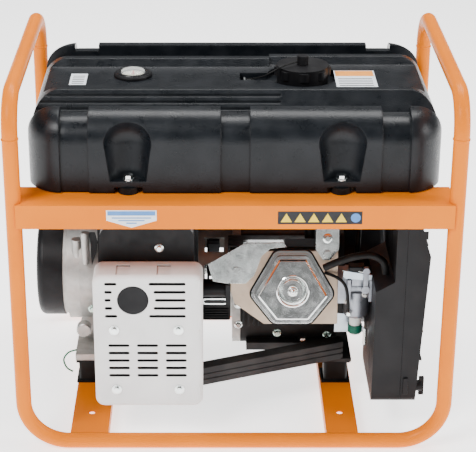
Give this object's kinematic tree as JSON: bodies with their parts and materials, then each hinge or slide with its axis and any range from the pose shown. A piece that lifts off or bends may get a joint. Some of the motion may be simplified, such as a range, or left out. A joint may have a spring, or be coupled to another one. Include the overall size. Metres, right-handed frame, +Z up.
{
  "type": "portable generator",
  "caption": "Open-frame portable petrol generator: bent tube frame carrying a moulded fuel tank, single-cylinder engine, alternator, muffler with slotted shield, and control panel.",
  "frame": {"origin": "on the floor under the middle of the frame", "axes": "+X along the crankshaft from the alternator to the recoil starter, -Y the side with muffler and valve cover, +Z up"},
  "size_m": [0.705, 0.4996, 0.6125],
  "materials": {
    "orange_paint": "gloss",
    "black_moulding": "textured",
    "black_rubber": "matte",
    "zinc_plate": "satin",
    "cast_aluminium": "cast",
    "black_engine_paint": "satin",
    "engine_enamel": "enamel over castings",
    "silver_paint": "satin",
    "lamination": "satin",
    "nylon_white": "gloss",
    "blue_socket": "gloss",
    "clear_lens": "clear",
    "needle_red": "gloss",
    "filter_foam": "foam",
    "earth_lead": "gloss"
  },
  "bodies": {
    "generator": {"air_cleaner_base": "black_moulding", "air_filter": "filter_foam", "blower_housing": "black_engine_paint", "breather_hose": "black_rubber", "cap_tether": "black_rubber", "carburetor": "cast_aluminium", "control_panel": "black_engine_paint", "crankcase_cover": "cast_aluminium", "cylinder_head": "cast_aluminium", "cylinder_shroud": "black_engine_paint", "end_bracket": "cast_aluminium", "end_cover": "black_moulding", "engine_base": "black_engine_paint", "engine_block": "engine_enamel", "fan_housing": "cast_aluminium", "front_hoop": "orange_paint", "front_tank_rail": "orange_paint", "fuel_cut_solenoid": "nylon_white", "fuel_gauge": "black_moulding", "fuel_hose": "black_rubber", "fuel_tank": "black_moulding", "fuel_tap": "cast_aluminium", "gauge_window": "clear_lens", "ground_wire": "earth_lead", "head_shields": "zinc_plate", "heat_shield": "silver_paint", "left_base_rail": "orange_paint", "left_top_bar": "orange_paint", "muffler": "black_engine_paint", "panel_fittings": "black_moulding", "piston": "cast_aluminium", "plug_lead": "black_rubber", "rear_hoop": "orange_paint", "rear_tank_rail": "orange_paint", "recoil_housing": "black_engine_paint", "right_base_rail": "orange_paint", "right_top_bar": "orange_paint", "rubber_mounts": "black_rubber", "socket_left": "blue_socket", "socket_right": "blue_socket", "starter_rope": "nylon_white", "stator": "lamination", "tank_grommets": "black_rubber", "valve_cover": "zinc_plate", "zinc_fixings": "zinc_plate"},
    "cap_button": {"cap_knob": "black_moulding"},
    "fuel_cap": {"fuel_cap": "black_moulding"},
    "gauge_needle": {"gauge_needle": "needle_red"},
    "tap_lever": {"tap_lever": "black_moulding"},
    "crank_train": {"crankshaft": "zinc_plate", "flywheel": "black_engine_paint", "alternator_rotor": "lamination"},
    "pull_handle": {"starter_handle": "black_moulding"},
    "starter_pulley": {"starter_pulley": "nylon_white"},
    "choke_lever": {"choke_lever": "zinc_plate"},
    "air_cleaner_cover": {"air_cleaner_cover": "black_moulding"},
    "socket_lid_left": {"socket_lid_left": "blue_socket"},
    "socket_lid_right": {"socket_lid_right": "blue_socket"},
    "breaker_toggle": {"breaker_toggle": "black_moulding"},
    "switch_knob": {"switch_knob": "black_moulding"}
  },
  "joints": [
    {"name": "cap_lift", "type": "slide", "parent": "generator", "child": "cap_button", "axis": [0, 0, 1], "range_m": [0, 0.045], "deforming": ["cap_tether"]},
    {"name": "cap_turn", "type": "hinge", "parent": "cap_button", "child": "fuel_cap", "pos_m": [0.112, -0.004, 0.57], "axis": [0, 0, 1], "range_deg": [0, 90]},
    {"name": "gauge_swing", "type": "hinge", "parent": "generator", "child": "gauge_needle", "pos_m": [-0.164, -0.004, 0.5655], "axis": [0, 0, 1], "range_deg": [-60, 60]},
    {"name": "tap_turn", "type": "hinge", "parent": "generator", "child": "tap_lever", "pos_m": [0.205, 0.168, 0.42], "axis": [0, 1, 0], "range_deg": [-90, 0]},
    {"name": "crank_spin", "type": "hinge", "parent": "generator", "child": "crank_train", "pos_m": [0, 0.08, 0.185], "axis": [1, 0, 0], "continuous": true},
    {"name": "starter_pull", "type": "slide", "parent": "generator", "child": "pull_handle", "axis": [0, 1, 0], "range_m": [0, 0.6], "stiffness_N_per_m": 15, "deforming": ["starter_rope"]},
    {"name": "pulley_turn", "type": "hinge", "parent": "generator", "child": "starter_pulley", "pos_m": [0.276, 0.08, 0.185], "axis": [1, 0, 0], "range_deg": [-575, 2]},
    {"name": "choke_turn", "type": "hinge", "parent": "generator", "child": "choke_lever", "pos_m": [0.216, -0.1355, 0.238], "axis": [0, 1, 0], "range_deg": [-40, 0]},
    {"name": "cover_off", "type": "slide", "parent": "generator", "child": "air_cleaner_cover", "axis": [1, 0, 0], "range_m": [0, 0.12]},
    {"name": "left_lid_open", "type": "hinge", "parent": "generator", "child": "socket_lid_left", "pos_m": [-0.15, 0.226, 0.3415], "axis": [1, 0, 0], "range_deg": [0, 95]},
    {"name": "right_lid_open", "type": "hinge", "parent": "generator", "child": "socket_lid_right", "pos_m": [-0.062, 0.226, 0.3415], "axis": [1, 0, 0], "range_deg": [0, 95]},
    {"name": "breaker_flip", "type": "hinge", "parent": "generator", "child": "breaker_toggle", "pos_m": [0, 0.223, 0.3175], "axis": [1, 0, 0], "range_deg": [-20, 20]},
    {"name": "switch_turn", "type": "hinge", "parent": "generator", "child": "switch_knob", "pos_m": [-0.24, 0.225, 0.27], "axis": [0, 1, 0], "range_deg": [-45, 45]}
  ],
  "couplings": [
    {"joint": "pulley_turn", "follows": "starter_pull", "rad_per_m": -16.667}
  ]
}
